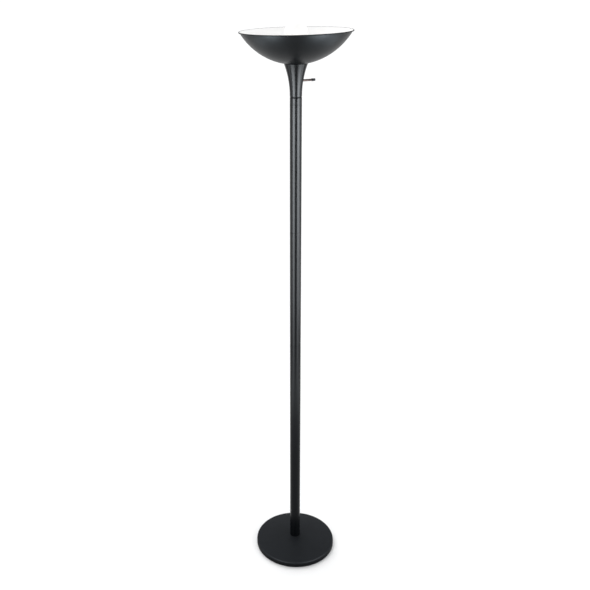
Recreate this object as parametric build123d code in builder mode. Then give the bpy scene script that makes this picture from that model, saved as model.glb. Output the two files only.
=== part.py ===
from build123d import *
import math
import os

# Torchiere floor lamp. Millimetres, +Z up, origin on the floor at the pole's axis.
# The switch stem points along +X, and the cord would leave the base towards +Y.

# --- Driving sizes --------------------------------------------------------------------------

# Gaps between pieces
seat_gap = 0.3  # between curved faces that rest near each other
thread_gap = 0.05  # radial, between a threaded pipe and what it is screwed into
running_gap = 0.05  # radial, round a turning shaft
pipe_hole_gap = 0.6  # radial, round a pipe that passes through a plain hole
insert_gap = 0.1  # radial, round a piece pressed into a tube or a hole
weight_side_gap = 0.4  # between the weight's edge and the skirt
stem_hole_gap = 1.1  # radial, round the stem where it leaves the neck
screw_cap_gap = 0.3  # radial, between the bulb's cap and the screw shell

# Base cover
base_radius = 140.0
cover_wall = 1.2
skirt_lift = 1.2  # floor to the lower edge of the skirt
base_edge_height = 19.0  # floor to where the dome's curve would meet the skirt
base_edge_round = 6.0
base_crown_height = 34.0  # floor to the flat seat under the pole
crown_radius = 22.0

# Cast weight and the pad under it
pad_thickness = 2.5
pad_margin = 6.0  # skirt's inner face to the pad's edge
pad_hole_margin = 2.0  # nut pocket's edge to the pad's hole
weight_plate = 8.5
weight_edge_chamfer = 2.0
hub_margin = 1.0  # crown's edge to the hub's top edge
hub_foot_radius = 45.0
rib_count = 6
rib_width = 7.0
rib_height = 6.0
rib_inner_end = 30.0  # lamp's axis to the rib's end inside the hub
rib_inset = 9.0  # weight's edge to the rib's outer end
nut_pocket_radius = 23.0
nut_pocket_depth = 16.0
cord_groove_width = 8.0
cord_groove_depth = 6.0

# Cord gland in the back of the skirt
gland_height = 7.6  # floor to its axis
gland_bore_radius = 2.75
gland_body_radius = 3.9
gland_flange_width = 1.3
gland_flange_thickness = 1.6
gland_tail = 5.0  # skirt's inner face to the gland's inner end
gland_barb_height = 0.6
gland_barb_length = 1.8
gland_notch_margin = 1.2  # between the gland and the notch in the weight

# Threaded pipes with their nuts and washers
pipe_radius = 5.0
pipe_bore_radius = 3.4
pipe_engagement = 15.0  # how far a pipe is screwed into a pole insert
pipe_tip = 1.5  # thread left standing past the nut
nut_across_flats = 16.0
nut_height = 5.0
nut_chamfer = 0.7
washer_radius = 19.0
washer_thickness = 2.0
lock_washer_radius = 8.6
lock_washer_thickness = 1.6
lock_washer_slit = 1.8

# Pole
pole_radius = 17.8
pole_wall = 1.0
section_count = 4
section_length = 391.0
section_chamfer = 0.4
insert_height = 22.0
insert_dish_radius = 12.0
insert_dish_depth = 3.0
insert_groove_depth = 0.8
insert_groove_width = 3.0

# Collar between the pole and the neck, with a V-shaped shadow groove under its top edge
collar_height = 19.0
collar_wall = 3.0
reveal_height = 4.0
reveal_depth = 0.8

# Neck
neck_foot_radius = 17.9
neck_wall = 1.2
neck_foot_straight = 2.0
neck_foot_round = 0.5
neck_height = 92.3
neck_curve_radius = 250.0

# Socket
cap_hub_radius = 8.0
cap_hub_height = 9.0
cap_floor = 2.5
cap_height = 10.5
cap_edge_round = 2.0
socket_radius = 16.9
socket_wall = 1.3
socket_body_height = 41.0
socket_thread_radius = 18.4
socket_thread_length = 33.0
socket_flange_radius = 24.0
socket_flange_thickness = 2.5
socket_mouth_height = 9.0  # bowl's floor to the socket's mouth
mouth_lip_height = 2.4
mouth_lip_gap = 0.3  # radial, between the lip and the screw shell
stem_slot_gap = 0.8  # radial, round the stem in the socket's shell
screw_shell_wall = 0.6
screw_shell_drop = 3.0  # socket's mouth to the screw shell's edge
screw_shell_floor_width = 4.0

# Terminal screws in the sides of the socket's body
terminal_drop = 32.0  # body's top to the screws' axis
terminal_head_radius = 3.2
terminal_head_height = 2.0
terminal_shank_radius = 1.7
terminal_shank_length = 5.0
terminal_slot_width = 0.9
terminal_slot_depth = 0.8
terminal_recess_gap = 0.6

# Spring strip under the bulb
contact_width = 6.0
contact_thickness = 0.6
contact_rise = 3.2
contact_foot_end = -8.0
contact_foot_bend = -4.0
contact_top_bend = -1.5
contact_top_end = 4.5

# Switch
stem_radius = 3.2
tang_radius = 2.0  # stem's thin end, inside the knob
stem_rise = 13.2  # foot of the socket's body to the stem's axis
stem_inner_end = 6.0  # lamp's axis to the stem's inner end
knob_start = 48.0  # lamp's axis to the knob's inner face
knob_length = 11.0
knob_radius = 4.1
knob_end_radius = 3.8
knob_edge_round = 0.5
flute_count = 12
flute_radius = 0.4
knob_bore_depth = 7.0

# Bowl
bowl_wall = 0.8
bowl_mouth_radius = 160.4  # inside the sheet, where the rim starts to curl
bowl_depth = 90.7  # lowest point of the inner curve to where the rim starts to curl
curl_radius = 1.7
curl_angle = 275.0
bowl_floor_radius = 24.5

# Ring that clamps the bowl, and the gasket under it
ring_radius = 26.0
ring_height = 5.5
ring_edge_chamfer = 0.8
ring_notch_count = 16
ring_notch_radius = 1.6
gasket_thickness = 0.8
gasket_radius = 22.5

# Bulb
bulb_length = 134.0
globe_radius = 33.5
globe_wall = 1.5
globe_split_drop = 48.0  # bulb's top to the joint between the globe and the housing
housing_foot_radius = 14.4
housing_plug_length = 6.0
housing_plug_gap = 0.1
screw_cap_radius = 13.2
screw_cap_wall = 0.5
screw_cap_length = 20.0
screw_cap_taper = 1.6
insulator_height = 4.0
insulator_foot_radius = 6.0
tip_radius = 4.6
tip_height = 1.6
tip_round = 0.7


# --- Worked out from the driving sizes ------------------------------------------------------


def sagitta(radius, half_chord):
    """Height of an arc of this radius over this half chord."""
    return radius - math.sqrt(radius**2 - half_chord**2)


pipe_thread_bore = pipe_radius + thread_gap
pipe_hole_radius = pipe_radius + pipe_hole_gap

# Base: the centre of the dome's sphere lies on the lamp's axis
dome_rise = base_crown_height - base_edge_height
dome_run = base_radius**2 - crown_radius**2
dome_radius = math.hypot((dome_run - dome_rise**2) / (2 * dome_rise), base_radius)
skirt_inner_radius = base_radius - cover_wall
weight_radius = skirt_inner_radius - weight_side_gap
weight_top = pad_thickness + weight_plate
hub_top = base_crown_height - cover_wall
hub_top_radius = crown_radius - hub_margin
pocket_roof = pad_thickness + nut_pocket_depth
base_lock_washer_foot = pocket_roof - washer_thickness - lock_washer_thickness
base_nut_foot = base_lock_washer_foot - nut_height
gland_barb_radius = gland_body_radius + gland_barb_height
gland_flange_radius = gland_body_radius + gland_flange_width
gland_inner_end = skirt_inner_radius - gland_tail
notch_width = 2 * (gland_barb_radius + gland_notch_margin)
notch_inner_end = gland_inner_end - gland_notch_margin

# Pole
pole_foot = base_crown_height
pole_top = pole_foot + section_count * section_length
pole_inner_radius = pole_radius - pole_wall
insert_radius = pole_inner_radius - insert_gap

# Collar and neck
reveal_foot = pole_top + collar_height
neck_foot = reveal_foot + reveal_height
neck_top = neck_foot + neck_height
neck_top_radius = neck_foot_radius + sagitta(neck_curve_radius, neck_height - neck_foot_straight)
neck_floor_top = neck_foot + neck_wall
neck_nut_foot = neck_floor_top + lock_washer_thickness

# Bowl: its inner face is a sphere through its lowest point and the start of the curl
bowl_inner_sphere = (bowl_mouth_radius**2 + bowl_depth**2) / (2 * bowl_depth)
bowl_outer_sphere = bowl_inner_sphere + bowl_wall
bowl_rest = sagitta(bowl_outer_sphere, neck_top_radius - neck_wall)
bowl_inner_bottom = neck_top + seat_gap - bowl_rest + bowl_wall
bowl_floor_top = bowl_inner_bottom + sagitta(bowl_inner_sphere, bowl_floor_radius)
bowl_floor = bowl_floor_top - bowl_wall
curl_start = bowl_inner_bottom + bowl_depth

# Socket and bulb: the bowl's floor sets the mouth, and what is screwed into it sets the rest
socket_top = bowl_floor + socket_mouth_height
housing_foot = socket_top + seat_gap
screw_cap_foot = housing_foot - screw_cap_length
insulator_foot = screw_cap_foot - insulator_height
bulb_foot = insulator_foot - tip_height
body_top = bulb_foot - seat_gap - contact_rise
body_foot = body_top - socket_body_height
socket_foot = body_foot - cap_floor
cap_top = socket_foot + cap_height
socket_bore = socket_radius - socket_wall
body_radius = socket_bore - insert_gap
stem_axis = body_foot + stem_rise
terminal_axis = body_top - terminal_drop
terminal_recess_radius = terminal_head_radius + terminal_recess_gap
terminal_seat = body_radius - terminal_head_height - terminal_recess_gap
screw_shell_inner_radius = screw_cap_radius + screw_cap_gap
screw_shell_radius = screw_shell_inner_radius + screw_shell_wall

# Bulb
bulb_top = bulb_foot + bulb_length
globe_centre = bulb_top - globe_radius
globe_split = bulb_top - globe_split_drop
globe_split_radius = math.sqrt(globe_radius**2 - (globe_split - globe_centre) ** 2)

# Planes through the lamp's axis that face its two sides, towards -Y and +Y
terminal_sides = (Plane.XZ, Plane(origin=(0, 0, 0), x_dir=(-1, 0, 0), z_dir=(0, 1, 0)))

pieces = {}


# --- Shapes that repeat ---------------------------------------------------------------------


def threaded_pipe(foot, top):
    """Hollow all-thread pipe on the lamp's axis, its thread left smooth."""
    with BuildPart() as pipe:
        with BuildSketch(Plane.XY.offset(foot)):
            Circle(pipe_radius)
            Circle(pipe_bore_radius, mode=Mode.SUBTRACT)
        extrude(amount=top - foot)
    return pipe


def hex_nut(foot):
    """Hexagon nut on the lamp's axis, cut from a blank turned to a cone at both faces."""
    flat = nut_across_flats / 2
    corner = flat / math.cos(math.pi / 6)
    top = foot + nut_height
    with BuildPart() as nut:
        with BuildSketch(Plane.XY.offset(foot)):
            RegularPolygon(flat, 6, major_radius=False)
            Circle(pipe_thread_bore, mode=Mode.SUBTRACT)
        extrude(amount=nut_height)
        with BuildSketch(Plane.XZ):
            with BuildLine():
                Polyline(
                    (0, foot),
                    (flat, foot),
                    (corner, foot + nut_chamfer),
                    (corner, top - nut_chamfer),
                    (flat, top),
                    (0, top),
                    close=True,
                )
            make_face()
        revolve(axis=Axis.Z, mode=Mode.INTERSECT)
    return nut


def lock_washer(foot):
    """Split spring washer on the lamp's axis, pressed flat."""
    with BuildPart() as washer:
        with BuildSketch(Plane.XY.offset(foot)):
            Circle(lock_washer_radius)
            Circle(pipe_thread_bore, mode=Mode.SUBTRACT)
            with Locations((0, lock_washer_radius)):
                Rectangle(lock_washer_slit, lock_washer_radius, mode=Mode.SUBTRACT)
        extrude(amount=lock_washer_thickness)
    return washer


def pole_insert(end, inwards):
    """Turned plug in the end of a pole section, with a threaded bore through it.

    Its flat face is at the height end. It reaches into the tube, up if inwards is 1 and down
    if it is -1, with a crimping groove round its middle and its inner face dished for the wires.
    """
    inner = end + inwards * insert_height
    middle = end + inwards * insert_height / 2
    groove_side = inwards * insert_groove_width / 2
    groove_radius = insert_radius - insert_groove_depth
    with BuildPart() as plug:
        with BuildSketch(Plane.XZ):
            with BuildLine():
                Polyline(
                    (pipe_thread_bore, end),
                    (insert_radius, end),
                    (insert_radius, middle - groove_side),
                    (groove_radius, middle - groove_side),
                    (groove_radius, middle + groove_side),
                    (insert_radius, middle + groove_side),
                    (insert_radius, inner),
                    (insert_dish_radius, inner),
                    (pipe_thread_bore, inner - inwards * insert_dish_depth),
                    close=True,
                )
            make_face()
        revolve(axis=Axis.Z)
    return plug


# --- Base -----------------------------------------------------------------------------------

# Stamped cover: skirt, rounded edge, shallow dome and a flat crown under the pole
with BuildPart() as base_cover:
    with BuildSketch(Plane.XZ):
        with BuildLine() as outline:
            dome = RadiusArc(
                (base_radius, base_edge_height), (crown_radius, base_crown_height), -dome_radius
            )
            Polyline(
                dome @ 1, (0, base_crown_height), (0, skirt_lift), (base_radius, skirt_lift), dome @ 0
            )
            fillet(outline.vertices().group_by(Axis.X)[-1].sort_by(Axis.Y)[-1], base_edge_round)
        make_face()
    revolve(axis=Axis.Z)
    offset(amount=-cover_wall, openings=base_cover.faces().sort_by(Axis.Z)[0])
    with Locations((0, 0, base_crown_height)):
        Hole(pipe_hole_radius)
    with BuildSketch(Plane.XZ.offset(-base_radius)):
        with Locations((0, gland_height)):
            Circle(gland_body_radius + insert_gap)
    extrude(amount=2 * cover_wall, mode=Mode.SUBTRACT)
pieces["base_cover"] = base_cover

# Cast iron weight: a ribbed plate that flares up into a hub under the crown
with BuildPart() as base_weight:
    with BuildSketch(Plane.XZ):
        with BuildLine():
            flare = TangentArc(
                (hub_foot_radius, weight_top), (hub_top_radius, hub_top), tangent=(-1, 0)
            )
            Polyline(flare @ 1, (0, hub_top), (0, pad_thickness), (weight_radius, pad_thickness))
            Polyline(
                (weight_radius, pad_thickness),
                (weight_radius, weight_top - weight_edge_chamfer),
                (weight_radius - weight_edge_chamfer, weight_top),
                flare @ 0,
            )
        make_face()
    revolve(axis=Axis.Z)
    rib_outer_end = weight_radius - rib_inset
    with BuildSketch(Plane.XY.offset(weight_top)):
        with PolarLocations((rib_inner_end + rib_outer_end) / 2, rib_count):
            Rectangle(rib_outer_end - rib_inner_end, rib_width)
    extrude(amount=rib_height)
    with Locations((0, 0, hub_top)):
        Hole(pipe_hole_radius)
    with BuildSketch(Plane.XY.offset(pad_thickness)):
        Circle(nut_pocket_radius)
    extrude(amount=nut_pocket_depth, mode=Mode.SUBTRACT)
    with BuildSketch(Plane.XY.offset(pad_thickness)):
        with Locations((0, weight_radius / 2)):
            Rectangle(cord_groove_width, weight_radius)
    extrude(amount=cord_groove_depth, mode=Mode.SUBTRACT)
    with BuildSketch(Plane.XY.offset(pad_thickness)):
        with Locations((0, (notch_inner_end + base_radius) / 2)):
            Rectangle(notch_width, base_radius - notch_inner_end)
    extrude(amount=weight_plate, mode=Mode.SUBTRACT)
pieces["base_weight"] = base_weight

# Foam pad under the weight, with a hole that leaves the nut within reach
with BuildPart() as floor_pad:
    with BuildSketch():
        Circle(skirt_inner_radius - pad_margin)
        Circle(nut_pocket_radius + pad_hole_margin, mode=Mode.SUBTRACT)
    extrude(amount=pad_thickness)
pieces["floor_pad"] = floor_pad

with BuildPart() as base_washer:
    with BuildSketch(Plane.XY.offset(pocket_roof)):
        Circle(washer_radius)
        Circle(pipe_hole_radius, mode=Mode.SUBTRACT)
    extrude(amount=-washer_thickness)
pieces["base_washer"] = base_washer

pieces["base_lock_washer"] = lock_washer(base_lock_washer_foot)
pieces["base_nut"] = hex_nut(base_nut_foot)
pieces["base_pipe"] = threaded_pipe(base_nut_foot - pipe_tip, pole_foot + pipe_engagement)

# Snap-in cord gland: a flange outside the skirt, a barb behind it and a tail
with BuildPart() as cord_gland:
    with BuildSketch(Plane.YZ):
        barb_start = skirt_inner_radius - seat_gap
        with BuildLine():
            Polyline(
                (gland_inner_end, gland_height + gland_bore_radius),
                (gland_inner_end, gland_height + gland_body_radius),
                (barb_start - gland_barb_length, gland_height + gland_body_radius),
                (barb_start, gland_height + gland_barb_radius),
                (barb_start, gland_height + gland_body_radius),
                (base_radius, gland_height + gland_body_radius),
                (base_radius, gland_height + gland_flange_radius),
                (base_radius + gland_flange_thickness, gland_height + gland_body_radius),
                (base_radius + gland_flange_thickness, gland_height + gland_bore_radius),
                close=True,
            )
        make_face()
    revolve(axis=Axis((0, 0, gland_height), (0, 1, 0)))
pieces["cord_gland"] = cord_gland

# --- Pole -----------------------------------------------------------------------------------

# Steel tubes that stand on each other, numbered from the base up
for number in range(1, section_count + 1):
    with BuildPart() as section:
        with BuildSketch(Plane.XY.offset(pole_foot + (number - 1) * section_length)):
            Circle(pole_radius)
            Circle(pole_inner_radius, mode=Mode.SUBTRACT)
        extrude(amount=section_length)
        chamfer(section.edges().filter_by(GeomType.CIRCLE).sort_by(SortBy.RADIUS)[-2:], section_chamfer)
    pieces[f"pole_section_{number}"] = section

# Each joint between two tubes: an insert below, an insert above and the pipe that joins them
for number in range(1, section_count):
    joint_height = pole_foot + number * section_length
    pieces[f"lower_insert_{number}"] = pole_insert(joint_height, inwards=-1)
    pieces[f"upper_insert_{number}"] = pole_insert(joint_height, inwards=1)
    pieces[f"joint_pipe_{number}"] = threaded_pipe(
        joint_height - pipe_engagement, joint_height + pipe_engagement
    )

pieces["foot_insert"] = pole_insert(pole_foot, inwards=1)
pieces["top_insert"] = pole_insert(pole_top, inwards=-1)

# --- Collar and neck ------------------------------------------------------------------------

# Turned cup on the pole's end, with the shadow groove round its top
with BuildPart() as collar:
    with BuildSketch(Plane.XZ):
        collar_bore = pole_radius - collar_wall
        with BuildLine():
            Polyline(
                (pole_radius, pole_top),
                (pole_radius, reveal_foot),
                (pole_radius - reveal_depth, reveal_foot + reveal_height / 2),
                (pole_radius, neck_foot),
                (pipe_hole_radius, neck_foot),
                (pipe_hole_radius, reveal_foot - collar_wall),
                (collar_bore, reveal_foot - collar_wall),
                (collar_bore, pole_top),
                close=True,
            )
        make_face()
    revolve(axis=Axis.Z)
    rims = collar.edges().filter_by(GeomType.CIRCLE).group_by(SortBy.RADIUS)[-1]
    chamfer(rims.sort_by(Axis.Z)[0], section_chamfer)
pieces["collar"] = collar

# Spun trumpet neck: a floor, a short straight foot and one long flaring curve
with BuildPart() as neck:
    with BuildSketch(Plane.XZ):
        with BuildLine() as outline:
            foot = Line((neck_foot_radius, neck_foot), (neck_foot_radius, neck_foot + neck_foot_straight))
            flare = TangentArc(foot @ 1, (neck_top_radius, neck_top), tangent=(0, 1))
            Polyline(flare @ 1, (0, neck_top), (0, neck_foot), foot @ 0)
            fillet(outline.vertices().group_by(Axis.Y)[0].sort_by(Axis.X)[-1], neck_foot_round)
        make_face()
    revolve(axis=Axis.Z)
    offset(amount=-neck_wall, openings=neck.faces().sort_by(Axis.Z)[-1])
    with Locations((0, 0, neck_floor_top)):
        Hole(pipe_hole_radius)
    with BuildSketch(Plane.YZ):
        with Locations((0, stem_axis)):
            Circle(stem_radius + stem_hole_gap)
    extrude(amount=neck_top_radius, mode=Mode.SUBTRACT)
pieces["neck"] = neck

pieces["neck_lock_washer"] = lock_washer(neck_floor_top)
pieces["neck_nut"] = hex_nut(neck_nut_foot)
pieces["neck_pipe"] = threaded_pipe(pole_top - pipe_engagement, socket_foot)

# --- Socket ---------------------------------------------------------------------------------

# Cap: a cup under the switch body, with a threaded hub that screws onto the neck's pipe
with BuildPart() as socket_cap:
    with BuildSketch(Plane.XZ):
        with BuildLine() as outline:
            Polyline(
                (pipe_thread_bore, socket_foot - cap_hub_height),
                (cap_hub_radius, socket_foot - cap_hub_height),
                (cap_hub_radius, socket_foot),
                (socket_radius, socket_foot),
                (socket_radius, cap_top),
                (socket_bore, cap_top),
                (socket_bore, body_foot),
                (pipe_thread_bore, body_foot),
                close=True,
            )
            fillet(outline.vertices().group_by(Axis.X)[-1].sort_by(Axis.Y)[0], cap_edge_round)
        make_face()
    revolve(axis=Axis.Z)
pieces["socket_cap"] = socket_cap

# Moulded body that holds the rotary switch, bored for the stem and the terminal screws
with BuildPart() as socket_body:
    with BuildSketch(Plane.XY.offset(body_foot)):
        Circle(body_radius)
    extrude(amount=socket_body_height)
    with BuildSketch(Plane.YZ.offset(stem_inner_end - seat_gap)):
        with Locations((0, stem_axis)):
            Circle(stem_radius + running_gap)
    extrude(amount=socket_radius, mode=Mode.SUBTRACT)
    for side in terminal_sides:
        with BuildSketch(side.offset(terminal_seat)):
            with Locations((0, terminal_axis)):
                Circle(terminal_recess_radius)
        extrude(amount=socket_radius, mode=Mode.SUBTRACT)
        with BuildSketch(side.offset(terminal_seat - terminal_shank_length - seat_gap)):
            with Locations((0, terminal_axis)):
                Circle(terminal_shank_radius + thread_gap)
        extrude(amount=socket_radius, mode=Mode.SUBTRACT)
pieces["socket_body"] = socket_body

# Outer sleeve: plain below, threaded for the clamping ring above, with a flange under the bowl
with BuildPart() as socket_shell:
    thread_foot = socket_top - socket_thread_length
    flange_foot = bowl_floor - socket_flange_thickness
    lip_foot = socket_top - mouth_lip_height
    with BuildSketch(Plane.XZ):
        with BuildLine():
            Polyline(
                (socket_bore, cap_top),
                (socket_radius, cap_top),
                (socket_radius, thread_foot),
                (socket_thread_radius, thread_foot + socket_thread_radius - socket_radius),
                (socket_thread_radius, flange_foot),
                (socket_flange_radius, flange_foot),
                (socket_flange_radius, bowl_floor),
                (socket_thread_radius, bowl_floor),
                (socket_thread_radius, socket_top),
                (screw_shell_radius + mouth_lip_gap, socket_top),
                (screw_shell_radius + mouth_lip_gap, lip_foot),
                (socket_bore, lip_foot),
                close=True,
            )
        make_face()
    revolve(axis=Axis.Z)
    with BuildSketch(Plane.YZ):
        with Locations((0, stem_axis)):
            Circle(stem_radius + stem_slot_gap)
    extrude(amount=socket_flange_radius, mode=Mode.SUBTRACT)
pieces["socket_shell"] = socket_shell

# Metal screw shell: a thin cup with a wide hole in its floor for the spring strip
with BuildPart() as screw_shell:
    with BuildSketch(Plane.XY.offset(body_top)):
        Circle(screw_shell_radius)
    extrude(amount=socket_top - screw_shell_drop - body_top)
    offset(amount=-screw_shell_wall, openings=screw_shell.faces().sort_by(Axis.Z)[-1])
    with Locations((0, 0, body_top + screw_shell_wall)):
        Hole(screw_shell_inner_radius - screw_shell_floor_width)
pieces["screw_shell"] = screw_shell

# Brass strip bent up from the socket's floor to meet the bulb's tip
with BuildPart() as centre_contact:
    with BuildSketch(Plane.XZ):
        with BuildLine():
            spring_top = body_top + contact_rise
            Polyline(
                (contact_foot_end, body_top),
                (contact_foot_bend, body_top),
                (contact_top_bend, spring_top - contact_thickness),
                (contact_top_end, spring_top - contact_thickness),
                (contact_top_end, spring_top),
                (contact_top_bend - contact_thickness / 2, spring_top),
                (contact_foot_bend - contact_thickness / 2, body_top + contact_thickness),
                (contact_foot_end, body_top + contact_thickness),
                close=True,
            )
        make_face()
    extrude(amount=contact_width / 2, both=True)
pieces["centre_contact"] = centre_contact

# Two slotted screws, one on each side of the socket's body
with BuildPart() as terminal_screws:
    for side in terminal_sides:
        with BuildSketch(side.offset(terminal_seat)):
            with Locations((0, terminal_axis)):
                Circle(terminal_head_radius)
        extrude(amount=terminal_head_height)
        with BuildSketch(side.offset(terminal_seat)):
            with Locations((0, terminal_axis)):
                Circle(terminal_shank_radius)
        extrude(amount=-terminal_shank_length)
        with BuildSketch(side.offset(terminal_seat + terminal_head_height)):
            with Locations((0, terminal_axis)):
                Rectangle(2 * terminal_head_radius, terminal_slot_width)
        extrude(amount=-terminal_slot_depth, mode=Mode.SUBTRACT)
pieces["terminal_screws"] = terminal_screws

# --- Switch ---------------------------------------------------------------------------------

# Round rod that turns in the socket's body, with a thinner end outside the neck for the knob
with BuildPart() as switch_stem:
    with BuildSketch(Plane.YZ.offset(stem_inner_end)):
        with Locations((0, stem_axis)):
            Circle(stem_radius)
    extrude(amount=knob_start - stem_inner_end)
    with BuildSketch(Plane.YZ.offset(knob_start)):
        with Locations((0, stem_axis)):
            Circle(tang_radius)
    extrude(amount=knob_bore_depth)
pieces["switch_stem"] = switch_stem

# Fluted knob, slightly tapered, on the end of the stem
with BuildPart() as switch_knob:
    knob_end = knob_start + knob_length
    with BuildSketch(Plane.XZ):
        with BuildLine() as outline:
            Polyline(
                (knob_start, stem_axis),
                (knob_start, stem_axis + knob_radius),
                (knob_end, stem_axis + knob_end_radius),
                (knob_end, stem_axis),
                close=True,
            )
            fillet(outline.vertices().group_by(Axis.Y)[1:], knob_edge_round)
        make_face()
    revolve(axis=Axis((0, 0, stem_axis), (1, 0, 0)))
    with BuildSketch(Plane.YZ.offset(knob_start)):
        with Locations((0, stem_axis)):
            Circle(tang_radius + insert_gap)
    extrude(amount=knob_bore_depth, mode=Mode.SUBTRACT)
    with BuildSketch(Plane.YZ.offset(knob_start)):
        with Locations((0, stem_axis)):
            with PolarLocations(knob_radius, flute_count):
                Circle(flute_radius)
    extrude(amount=knob_length, mode=Mode.SUBTRACT)
pieces["switch_knob"] = switch_knob

# --- Bowl and its clamp ---------------------------------------------------------------------

# Spun bowl: a flat floor, one spherical sweep and a rim rolled outwards into an open curl
with BuildPart() as bowl:
    with BuildSketch(Plane.XZ):
        bowl_hole_radius = socket_thread_radius + pipe_hole_gap
        skin_height = bowl_floor - bowl_inner_bottom + bowl_wall
        skin_foot_radius = math.sqrt((2 * bowl_outer_sphere - skin_height) * skin_height)
        with BuildLine():
            lining = RadiusArc(
                (bowl_floor_radius, bowl_floor_top),
                (bowl_mouth_radius, curl_start),
                -bowl_inner_sphere,
            )
            rim = lining % 1
            curl = JernArc(lining @ 1, rim, curl_radius, -curl_angle)
            skin_top = lining @ 1 + rim.rotate(Axis.Z, -90) * bowl_wall
            curl_inside = JernArc(skin_top, rim, curl_radius - bowl_wall, -curl_angle)
            Line(curl @ 1, curl_inside @ 1)
            skin = RadiusArc((skin_foot_radius, bowl_floor), skin_top, -bowl_outer_sphere)
            Polyline(
                skin @ 0, (bowl_hole_radius, bowl_floor), (bowl_hole_radius, bowl_floor_top), lining @ 0
            )
        make_face()
    revolve(axis=Axis.Z)
pieces["bowl"] = bowl

with BuildPart() as bowl_gasket:
    with BuildSketch(Plane.XY.offset(bowl_floor_top)):
        Circle(gasket_radius)
        Circle(bowl_hole_radius, mode=Mode.SUBTRACT)
    extrude(amount=gasket_thickness)
pieces["bowl_gasket"] = bowl_gasket

# Notched ring that screws down the socket's sleeve onto the gasket
with BuildPart() as bowl_ring:
    with BuildSketch(Plane.XY.offset(bowl_floor_top + gasket_thickness)):
        Circle(ring_radius)
        Circle(socket_thread_radius + thread_gap, mode=Mode.SUBTRACT)
    extrude(amount=ring_height)
    chamfer(bowl_ring.edges().group_by(Axis.Z)[-1].sort_by(SortBy.RADIUS)[-1], ring_edge_chamfer)
    with BuildSketch(Plane.XY.offset(bowl_floor_top + gasket_thickness)):
        with PolarLocations(ring_radius, ring_notch_count):
            Circle(ring_notch_radius)
    extrude(amount=ring_height, mode=Mode.SUBTRACT)
pieces["bowl_ring"] = bowl_ring

# --- Bulb -----------------------------------------------------------------------------------

with BuildPart() as bulb_tip:
    with BuildSketch(Plane.XY.offset(bulb_foot)):
        Circle(tip_radius)
    extrude(amount=tip_height)
    fillet(bulb_tip.edges().group_by(Axis.Z)[0], tip_round)
pieces["bulb_tip"] = bulb_tip

# Insulating cone between the tip and the screw cap
with BuildPart() as bulb_insulator:
    with BuildSketch(Plane.XZ):
        with BuildLine():
            Polyline(
                (0, insulator_foot),
                (insulator_foot_radius, insulator_foot),
                (screw_cap_radius - screw_cap_taper, screw_cap_foot),
                (0, screw_cap_foot),
                close=True,
            )
        make_face()
    revolve(axis=Axis.Z)
pieces["bulb_insulator"] = bulb_insulator

# Metal screw cap, its thread left smooth: a cup turned in at the foot
with BuildPart() as bulb_cap:
    with BuildSketch(Plane.XZ):
        with BuildLine():
            Polyline(
                (0, screw_cap_foot),
                (screw_cap_radius - screw_cap_taper, screw_cap_foot),
                (screw_cap_radius, screw_cap_foot + screw_cap_taper),
                (screw_cap_radius, housing_foot),
                (0, housing_foot),
                close=True,
            )
        make_face()
    revolve(axis=Axis.Z)
    offset(amount=-screw_cap_wall, openings=bulb_cap.faces().sort_by(Axis.Z)[-1])
pieces["bulb_cap"] = bulb_cap

# Housing: a plug inside the screw cap, and a flare that meets the globe in one line
with BuildPart() as bulb_housing:
    plug_radius = screw_cap_radius - screw_cap_wall - housing_plug_gap
    with BuildSketch(Plane.XZ):
        with BuildLine():
            flare = TangentArc(
                (globe_split_radius, globe_split),
                (housing_foot_radius, housing_foot),
                tangent=(globe_split - globe_centre, -globe_split_radius),
            )
            Polyline(
                flare @ 1,
                (plug_radius, housing_foot),
                (plug_radius, housing_foot - housing_plug_length),
                (0, housing_foot - housing_plug_length),
                (0, globe_split),
                flare @ 0,
            )
        make_face()
    revolve(axis=Axis.Z)
pieces["bulb_housing"] = bulb_housing

# Frosted globe: the upper part of a thin sphere
with BuildPart() as bulb_globe:
    with BuildSketch(Plane.XZ):
        with BuildLine():
            dome = RadiusArc((0, bulb_top), (globe_radius, globe_centre), globe_radius)
            belly = RadiusArc(dome @ 1, (globe_split_radius, globe_split), globe_radius)
            Polyline(belly @ 1, (0, globe_split), dome @ 0)
        make_face()
    revolve(axis=Axis.Z)
    offset(amount=-globe_wall, openings=bulb_globe.faces().sort_by(Axis.Z)[0])
pieces["bulb_globe"] = bulb_globe

# --- Files ----------------------------------------------------------------------------------

os.makedirs("parts", exist_ok=True)
for name, piece in pieces.items():
    piece.part.label = name
    export_step(piece.part, f"parts/{name}.step")
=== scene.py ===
import logging
import math
from dataclasses import dataclass
from enum import Enum
from typing import Any, Optional, Sequence, Union

import bmesh
import bpy
import numpy as np
from mathutils import Matrix, Vector


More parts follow.
